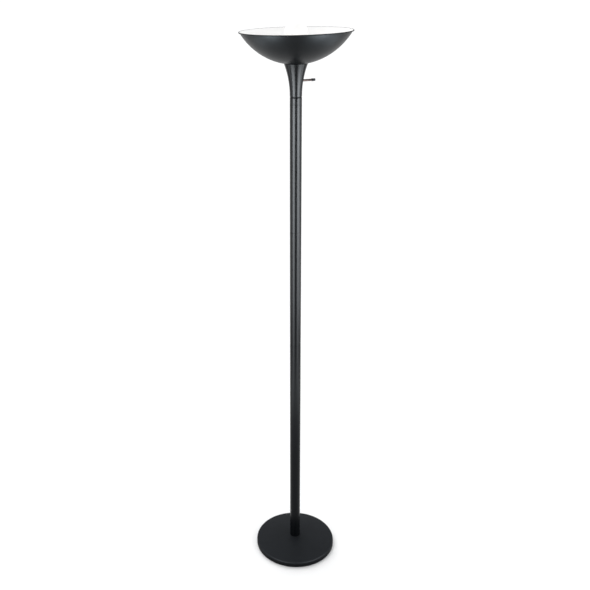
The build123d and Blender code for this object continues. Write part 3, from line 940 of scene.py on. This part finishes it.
@dataclass
class Neck:
    """Turned collar with its V-shaped shadow groove, and the spun trumpet above it."""

    collar_bore: float = 14.8 * MM
    pipe_hole: float = 5.6 * MM
    groove_height: float = 4 * MM
    groove_depth: float = 0.8 * MM
    cap_thickness: float = 3 * MM
    edge: float = 0.4 * MM
    wall: float = 1.2 * MM
    foot_radius: float = 17.9 * MM
    foot_round: float = 0.5 * MM
    straight: float = 2 * MM
    curve: float = 250 * MM
    stem_hole: float = 4.3 * MM
    stem_hole_from: float = 8 * MM
    stem_hole_to: float = 45 * MM
    curve_steps: int = 60
    foot_steps: int = 6
    columns: int = 192

    def collar(self) -> Piece:
        """Makes the collar: a cup over the pole's end, grooved round its top.

        Returns:
            The collar.
        """
        span = Span.of("collar")
        step = span.top - self.groove_height
        inside = step - self.cap_thickness
        corners = [
            (self.collar_bore, span.bottom, 0.1 * MM),
            (span.radius, span.bottom, self.edge),
            (span.radius, step, self.edge),
            (span.radius - self.groove_depth, span.top - self.groove_height / 2, 0.2 * MM),
            (span.radius, span.top, 0.1 * MM),
            (self.pipe_hole, span.top, 0.1 * MM),
            (self.pipe_hole, inside, 0.1 * MM),
            (self.collar_bore, inside, 0.2 * MM),
        ]
        return shape("collar_cup", Spindle().turn(rounded(corners), self.columns), sharp=12)

    def trumpet_outline(self) -> np.ndarray:
        """The neck's closed section.

        The outside rises straight from the foot and then follows a circle that is tangent to
        it, out to the top edge. The inside follows the same centre, one wall further off.

        Returns:
            Radius and height of each point.
        """
        span = Span.of("neck")
        start = span.bottom + self.straight
        hub = self.foot_radius + self.curve
        sweep = math.asin((span.top - start) / self.curve)
        far = self.curve + self.wall
        inner_sweep = math.asin((span.top - start) / far)
        outside = arc((hub, start), self.curve, math.pi, math.pi - sweep, self.curve_steps)
        inside = arc((hub, start), far, math.pi - inner_sweep, math.pi, self.curve_steps)
        bend = (self.foot_radius - self.foot_round, span.bottom + self.foot_round)
        foot = arc(bend, self.foot_round, -math.pi / 2, 0, self.foot_steps)
        top = span.bottom + self.wall
        floor = [(self.foot_radius - self.wall, top), (self.pipe_hole, top)]
        return np.concatenate([[(self.pipe_hole, span.bottom)], foot, outside, inside, floor])

    def build(self) -> None:
        """Makes the collar and the neck, with the hole that the stem passes through."""
        seat(self.collar(), "lamp", "black_paint", "collar", Dress.PAINT)
        horn = shape("neck_horn", Spindle().turn(self.trumpet_outline(), self.columns), sharp=40)
        axis = Spindle.level("switch_stem", (1.0, 0.0, 0.0), (0.0, 1.0, 0.0))
        drill(horn, axis, self.stem_hole, self.stem_hole_from, self.stem_hole_to, sharp=40)
        seat(horn, "lamp", "black_paint", "neck", Dress.PAINT)
        paint_nodes(Dress.STEEL, "neck_nut", "neck_lock_washer", "neck_pipe")


# --- Bowl ---


@dataclass
class Bowl:
    """Spun bowl, black outside and white inside, with a rim rolled outwards, and its clamp."""

    wall: float = 0.8 * MM
    floor_radius: float = 24.5 * MM
    hole_radius: float = 19.0 * MM
    mouth_radius: float = 160.4 * MM
    depth: float = 90.7 * MM
    curl: float = 1.7 * MM
    curl_turn: float = 275.0
    paint_edge: float = 46.0
    ring_bore: float = 18.45 * MM
    ring_notch: float = 1.6 * MM
    ring_notches: int = 16
    columns_per_notch: int = 24
    side_steps: int = 72
    lip_steps: int = 8
    curl_steps: int = 30
    columns: int = 384

    def outline(self) -> tuple[np.ndarray, np.ndarray]:
        """The bowl's closed section.

        The inside is a sphere from the floor to the mouth, then the sheet turns outwards and
        down round the curl's centre, and comes back one wall away. White ends a little inside
        the top of the curl, where the paint edge's angle from upright says.

        Returns:
            Radius and height of each point, and the material slot of each row of faces.
        """
        span = Span.of("bowl")
        sphere = (self.mouth_radius**2 + self.depth**2) / (2 * self.depth)
        floor_rise = sphere - math.sqrt(sphere**2 - self.floor_radius**2)
        floor_top = span.bottom + self.wall
        centre = floor_top - floor_rise + sphere
        foot = -math.acos(self.floor_radius / sphere)
        mouth = -math.acos(self.mouth_radius / sphere)
        slope = mouth + math.pi / 2
        tip = (self.mouth_radius, centre + sphere * math.sin(mouth))
        hub = (tip[0] + self.curl * math.sin(slope), tip[1] - self.curl * math.cos(slope))
        start = slope + math.pi / 2
        end = start - math.radians(self.curl_turn)
        crown = min(start, math.pi / 2 + math.radians(self.paint_edge))
        outer = sphere + self.wall
        skin_foot = -math.asin((centre - span.bottom) / outer)
        parts = [
            arc((0, centre), sphere, foot, mouth, self.side_steps),
            arc(hub, self.curl, start, crown, self.lip_steps)[1:],
            arc(hub, self.curl, crown, end, self.curl_steps)[1:],
            arc(hub, self.curl - self.wall, end, start, self.curl_steps),
            arc((0, centre), outer, mouth, skin_foot, self.side_steps)[1:],
            np.array([(self.hole_radius, span.bottom), (self.hole_radius, floor_top)]),
        ]
        white = np.zeros(sum(len(part) for part in parts), int)
        white[: self.side_steps + self.lip_steps] = 1
        white[-2:] = 1
        return np.concatenate(parts), white

    def clamp(self) -> Piece:
        """Makes the clamping ring, bevelled and with round notches cut into its edge.

        Returns:
            The ring.
        """
        span = Span.of("bowl_ring")
        edge = max(span.high.x, -span.low.y, span.radius)
        corners = [
            (self.ring_bore, span.bottom, 0.1 * MM),
            (edge, span.bottom, 0.2 * MM),
            (edge, span.top, 0.8 * MM),
            (self.ring_bore, span.top, 0.3 * MM),
        ]
        outline = rounded(corners)
        columns = self.ring_notches * self.columns_per_notch
        limit = notched_edge(edge, self.ring_notch, self.ring_notches, columns)
        return shape("clamp_ring", Spindle().turn(outline, columns, np.minimum(outline[:, :1], limit)))

    def build(self) -> None:
        """Makes the bowl and the ring, and dresses the gasket."""
        outline, white = self.outline()
        bowl = shape("bowl_shell", Spindle().turn(outline, self.columns), sharp=60, slots=white)
        seat(bowl, "lamp", "black_paint", "bowl", Dress.BOWL_PAINT, Dress.ENAMEL)
        seat(self.clamp(), "lamp", "black_plastic", "bowl_ring", Dress.SOCKET)
        paint_nodes(Dress.GASKET, "bowl_gasket")


# --- Socket and switch ---


@dataclass(frozen=True)
class ThreadedCup:
    """A thin cup whose screw thread is rolled right through its wall.

    Rise is the height of the wall's foot over the floor's underside, and thread the depth.
    """

    wall: float
    rise: float
    thread: float
    rows: int
    columns: int

    def build(self, name: str, node: str, floor: Line, inside: Line) -> Piece:
        """Makes the cup.

        Args:
            name: The piece's name.
            node: The node whose height and radius it keeps to.
            floor: The floor's underside, from its middle to its edge.
            inside: The floor's upper side, from its edge to its middle.

        Returns:
            The cup.
        """
        span = Span.of(node)
        height = np.linspace(span.bottom + self.rise, span.top, self.rows)
        walls = [upright(span.radius, height), upright(span.radius - self.wall, height[::-1])]
        outline = np.concatenate([floor, *walls, inside])
        radius = np.repeat(outline[:, :1], self.columns, axis=1)
        depth = thread_depth(height, self.columns, SCREW_PITCH, self.thread, SCREW_PITCH)
        start, middle, end = (len(floor) + count * self.rows for count in range(3))
        radius[start:middle] -= depth
        radius[middle:end] -= depth[::-1]
        return shape(name, Spindle().turn(outline, self.columns, radius), sharp=50)


@dataclass
class Socket:
    """The socket's mouldings, its screw shell and the contacts."""

    shell: ThreadedCup = ThreadedCup(wall=0.6 * MM, rise=0.6 * MM, thread=0.22 * MM, rows=64, columns=72)
    floor_hole: float = 9.5 * MM

    def screw_shell(self) -> Piece:
        """Makes the metal cup that the bulb screws into.

        Returns:
            The cup.
        """
        span = Span.of("screw_shell")
        floor = [(self.floor_hole, span.bottom), (span.radius, span.bottom)]
        inside = [(self.floor_hole, span.bottom + self.shell.wall)]
        return self.shell.build("screw_shell_thread", "screw_shell", floor, inside)

    def build(self) -> None:
        """Makes the screw shell and dresses the rest of the socket."""
        seat(self.screw_shell(), "lamp", "aluminium", "screw_shell", Dress.ALUMINIUM)
        paint_nodes(Dress.SOCKET, "socket_cap", "socket_body", "socket_shell")
        paint_nodes(Dress.BRASS, "centre_contact", "terminal_screws")


@dataclass
class Switch:
    """The stem through the neck's side and the fluted knob on its end."""

    stem_edge: float = 0.3 * MM
    knob_round: float = 0.5 * MM
    knob_end_radius: float = 3.8 * MM
    knob_radius: float = 4.1 * MM
    tang: float = 2.0 * MM
    bore: float = 2.1 * MM
    bore_depth: float = 7 * MM
    flutes: int = 12
    flute: float = 0.4 * MM
    columns_per_flute: int = 20
    stem_columns: int = 64

    def build(self) -> None:
        """Makes the stem and the knob, both turned round the stem's axis."""
        stem, knob = Span.of("switch_stem"), Span.of("switch_knob")
        axis = Spindle.level("switch_stem", (1.0, 0.0, 0.0), (0.0, 1.0, 0.0))
        thick = (stem.top - stem.bottom) / 2
        corners = [
            (0.0, stem.low.x, 0.01 * MM),
            (thick, stem.low.x, self.stem_edge),
            (thick, knob.low.x, self.stem_edge),
            (self.tang, knob.low.x, 0.1 * MM),
            (self.tang, stem.high.x, self.stem_edge),
            (0.0, stem.high.x, 0.01 * MM),
        ]
        rod = shape("stem_rod", axis.turn(rounded(corners), self.stem_columns))
        seat(rod, "switch", "stem_brass", "switch_stem", Dress.STEM)

        start, end = knob.low.x, knob.high.x
        corners = [
            (self.bore, start, 0.1 * MM),
            (self.knob_radius, start, self.knob_round),
            (self.knob_end_radius, end, self.knob_round),
            (0.0, end, 0.01 * MM),
            (0.0, start + self.bore_depth, 0.01 * MM),
            (self.bore, start + self.bore_depth, 0.1 * MM),
        ]
        outline = rounded(corners, 6)
        columns = self.flutes * self.columns_per_flute
        limit = notched_edge(self.knob_radius, self.flute, self.flutes, columns)
        grip = shape("fluted_knob", axis.turn(outline, columns, np.minimum(outline[:, :1], limit)))
        seat(grip, "switch", "black_plastic", "switch_knob", Dress.KNOB)


# --- Bulb ---


@dataclass
class Bulb:
    """The bulb: brass tip, black insulator, threaded cap, white housing and frosted globe."""

    cup: ThreadedCup = ThreadedCup(wall=0.5 * MM, rise=1.6 * MM, thread=0.55 * MM, rows=80, columns=96)
    plug: float = 12.6 * MM
    plug_length: float = 6 * MM
    foot_radius: float = 14.4 * MM
    globe_wall: float = 1.5 * MM
    globe_steps: int = 60
    flare_steps: int = 48
    columns: int = 144

    def cap(self) -> Piece:
        """Makes the screw cap, which is turned in at its foot.

        Returns:
            The cap.
        """
        span = Span.of("bulb_cap")
        edge, top = span.radius - self.cup.rise, span.bottom + self.cup.wall
        floor = [(0.0, span.bottom), (edge, span.bottom)]
        inside = [(edge - self.cup.wall, top), (0.0, top)]
        return self.cup.build("cap_thread", "bulb_cap", floor, inside)

    def globe_outlines(self) -> tuple[np.ndarray, np.ndarray]:
        """The closed sections of the globe and of the housing under it.

        The globe is the part of a sphere above the joint, one wall thick. The housing's flare
        leaves the sphere in line with it and bends on one circle down to its foot.

        Returns:
            Radius and height of each point of the globe, and the same of the housing.
        """
        span, housing = Span.of("bulb_globe"), Span.of("bulb_housing")
        ball = span.radius
        centre = span.top - ball
        low = math.asin((span.bottom - centre) / ball)
        low_in = math.asin((span.bottom - centre) / (ball - self.globe_wall))
        outside = arc((0, centre), ball, math.pi / 2, low, self.globe_steps)
        inside = arc((0, centre), ball - self.globe_wall, low_in, math.pi / 2, self.globe_steps)
        joint = ball * math.cos(low)
        foot_height = housing.bottom + self.plug_length
        start, end = np.array([joint, span.bottom]), np.array([self.foot_radius, foot_height])
        heading = np.array([math.sin(low), -math.cos(low)])
        left = np.array([-heading[1], heading[0]])
        chord = end - start
        bend = (chord @ chord) / (2 * (chord @ left))
        hub = start + left * bend
        first, last = (math.atan2(*(p - hub)[::-1]) for p in (start, end))
        if abs(last - first) > math.pi:
            last += math.copysign(2 * math.pi, first - last)
        flare = arc(tuple(hub), abs(bend), first, last, self.flare_steps)
        plug = [(self.plug, foot_height), (self.plug, housing.bottom), (0.0, housing.bottom)]
        body = np.concatenate([[(0.0, span.bottom)], flare, plug])
        return np.concatenate([outside, inside]), body

    def build(self) -> None:
        """Makes the globe, the housing and the cap, and dresses the insulator and the tip."""
        globe_line, housing_line = self.globe_outlines()
        globe = shape("globe_dome", Spindle().turn(globe_line, self.columns), sharp=50)
        seat(globe, "bulb", "bulb_diffuser", "bulb_globe", Dress.DIFFUSER)
        housing = shape("housing_flare", Spindle().turn(housing_line, self.columns), sharp=50)
        seat(housing, "bulb", "bulb_plastic", "bulb_housing", Dress.HOUSING)
        seat(self.cap(), "bulb", "aluminium", "bulb_cap", Dress.ALUMINIUM)
        paint_nodes(Dress.INSULATOR, "bulb_insulator")
        paint_nodes(Dress.BRASS, "bulb_tip")


# --- Studio ---


@dataclass(frozen=True)
class SoftBox:
    """A soft box: a stack of upright panels that face the lamp's axis and show in reflections.

    Its angle is in degrees round from the camera's side, to the right, and each panel is its
    foot, its top and its radiance. A box for the bowl lights only the bowl, any other all but it.
    """

    name: str
    angle: float
    width: float
    panels: tuple[Triple, ...]
    for_bowl: bool = False
    away: float = 1.35
    tint: Colour = (0.95, 1.0, 1.04)
    bowl_tint: Colour = (0.87, 1.0, 1.10)

    def build(self, circle: bpy.types.Collection, turn: float) -> None:
        """Makes the panels.

        Args:
            circle: The collection that says which pieces they light.
            turn: The camera's own angle round the lamp, in degrees.
        """
        around = math.radians(self.angle - turn)
        for number, (low, high, radiance) in enumerate(self.panels):
            data = bpy.data.lights.new(f"soft_box_{self.name}_{number}", "AREA")
            data.shape, data.size, data.size_y = "RECTANGLE", self.width, high - low
            data.energy = math.pi * data.size * data.size_y * radiance
            data.color = self.bowl_tint if self.for_bowl else self.tint
            panel = stand(data.name, data)
            across, ahead = self.away * math.sin(around), -self.away * math.cos(around)
            panel.location = (across, ahead, (low + high) / 2)
            panel.rotation_euler = (math.radians(90), 0.0, around)
            panel.visible_diffuse = False
            panel.light_linking.receiver_collection = circle


TALL = ((0.02, 0.35, 6.0), (0.35, 0.75, 15.0), (0.75, 1.15, 24.0), (1.15, 1.6, 35.0))
LOW = ((0.0, 0.17, 4.0),)


@dataclass
class Studio:
    """The floor, the lights, the surroundings and the camera, with the angles in degrees."""

    turn: float = 20.0
    distance: float = 2.317
    height: float = 1.969
    yaw: float = -4.51
    pitch: float = 22.80
    roll: float = -1.63
    focal: float = 777.0
    side_shift: float = 56.0
    picture: int = 590
    sensor: float = 36.0
    boxes: tuple[SoftBox, ...] = (
        SoftBox("left", -39.0, 1.05, TALL),
        SoftBox("right", 49.0, 1.05, TALL),
        SoftBox("left_side", -86.0, 0.55, ((0.3, 1.5, 3.0),)),
        SoftBox("right_side", 86.0, 0.55, ((0.3, 1.5, 9.0),)),
        SoftBox("low_left", -60.0, 1.1, LOW, away=0.97),
        SoftBox("low_front", 0.0, 1.1, LOW, away=0.97),
        SoftBox("low_right", 60.0, 1.1, LOW, away=0.97),
        SoftBox("bowl_left", -57.0, 0.95, ((0.02, 0.75, 49.0),), True),
        SoftBox("bowl_right", 57.0, 1.0, ((0.02, 0.75, 60.0),), True),
        SoftBox("bowl_far_left", -105.0, 0.9, ((0.02, 0.75, 2.4),), True),
        SoftBox("bowl_far_right", 105.0, 0.9, ((0.02, 0.75, 3.6),), True),
    )
    bulb_watts: float = 0.2
    bulb_size: float = 20 * MM
    bulb_gap: float = 10 * MM
    sun_strength: float = 1.4
    sun_spread: float = 60.0
    sun_angle: float = -157.0
    sun_lift: float = 50.0
    sky: Colour = (0.79, 0.795, 0.80)
    horizon: tuple[float, float] = (0.05, 0.45)
    floor_colour: Colour = (0.93, 0.93, 0.93)
    floor_drop: float = 0.05 * MM
    floor_reach: float = 150.0
    view_reach: float = 200.0

    def camera(self) -> None:
        """Places the camera: in front of the lamp, above the bowl's rim and looking down."""
        yaw, pitch, roll = (math.radians(a) for a in (self.yaw, self.pitch, self.roll))
        level = math.cos(pitch)
        ahead = Vector((math.sin(yaw) * level, math.cos(yaw) * level, -math.sin(pitch)))
        right = Vector((math.cos(yaw), -math.sin(yaw), 0.0))
        up = right.cross(ahead)
        across = right * math.cos(roll) + up * math.sin(roll)
        lift = up * math.cos(roll) - right * math.sin(roll)
        data = bpy.data.cameras.new("camera")
        data.sensor_width = self.sensor
        data.lens = self.focal * self.sensor / self.picture
        data.shift_x = self.side_shift / self.picture
        data.clip_end = self.view_reach
        eye = stand("camera", data)
        axes = Matrix((across, lift, -ahead)).transposed().to_4x4()
        swing = Matrix.Rotation(-math.radians(self.turn), 4, "Z")
        eye.matrix_world = swing @ Matrix.Translation((0.0, -self.distance, self.height)) @ axes
        bpy.context.scene.camera = eye

    def soft_boxes(self) -> None:
        """Makes the lights that need the bowl to be there.

        Each soft box lights the bowl alone or all the rest, and a weak light just over the bulb
        lights the bowl alone.
        """
        bowl = bpy.data.objects["bowl_shell"]
        circles = {}
        for on_bowl, state in ((True, "INCLUDE"), (False, "EXCLUDE")):
            circle = bpy.data.collections.new(f"bowl_{state.lower()}")
            circle.objects.link(bowl)
            circle.collection_objects[0].light_linking.link_state = state
            circles[on_bowl] = circle
        for box in self.boxes:
            box.build(circles[box.for_bowl], self.turn)
        data = bpy.data.lights.new("bulb_light", "POINT")
        data.energy, data.shadow_soft_size = self.bulb_watts, self.bulb_size
        glow = stand("bulb_light", data)
        glow.location = (0.0, 0.0, Span.of("bulb_globe").top + self.bulb_gap)
        glow.visible_glossy = False
        glow.light_linking.receiver_collection = circles[True]

    def sun(self) -> None:
        """Makes a wide soft light from high up behind the lamp and to its left."""
        data = bpy.data.lights.new("overhead", "SUN")
        data.energy, data.angle = self.sun_strength, math.radians(self.sun_spread)
        light = stand("overhead", data)
        around, lift = math.radians(self.sun_angle - self.turn), math.radians(self.sun_lift)
        level = math.cos(lift)
        source = Vector((math.sin(around) * level, -math.cos(around) * level, math.sin(lift)))
        light.rotation_euler = (-source).to_track_quat("-Z", "Y").to_euler()
        light.visible_glossy = False

    def surroundings(self) -> None:
        """Makes the world: white up to the horizon and a little over it, pale grey overhead."""
        world = bpy.data.worlds.new("surroundings")
        bpy.context.scene.world = world
        sheet = Sheet(world)
        ray = sheet.node("ShaderNodeTexCoord", output="Generated")
        rise = sheet.node("ShaderNodeSeparateXYZ", {}, {0: ray}, "Z").step(*self.horizon)
        shade = sheet.blend(rise, (1.0, 1.0, 1.0), self.sky)
        back = sheet.node("ShaderNodeBackground", {}, {"Color": shade, "Strength": 1.0})
        sheet.node("ShaderNodeOutputWorld", {}, {"Surface": back})

    def floor(self) -> None:
        """Makes a plain white floor out to the horizon."""
        corner = np.array([(-1, -1), (1, -1), (1, 1), (-1, 1)], float) * self.floor_reach
        mesh = bpy.data.meshes.new("floor")
        mesh.from_pydata(np.column_stack([corner, np.full(4, -self.floor_drop)]), [], [(0, 1, 2, 3)])
        plane = stand("floor", mesh)
        white = bpy.data.materials.new("studio_floor")
        Sheet(white).skin(Base_Color=self.floor_colour, Roughness=0.9, Specular_IOR_Level=0.1)
        mesh.materials.append(white)

    def build(self) -> None:
        """Makes all of the studio but the lights that need the bowl."""
        bpy.context.scene.view_settings.view_transform = "Standard"
        self.camera()
        self.surroundings()
        self.floor()
        self.sun()


def main() -> None:
    """Builds the studio and then the lamp, from the floor up."""
    studio = Studio()
    studio.build()
    for part in (Base(), Pole(), Neck(), Bowl(), Socket(), Switch(), Bulb()):
        part.build()
        log.info("%s is built", type(part).__name__)
    studio.soft_boxes()


if __name__ == "__main__":
    main()
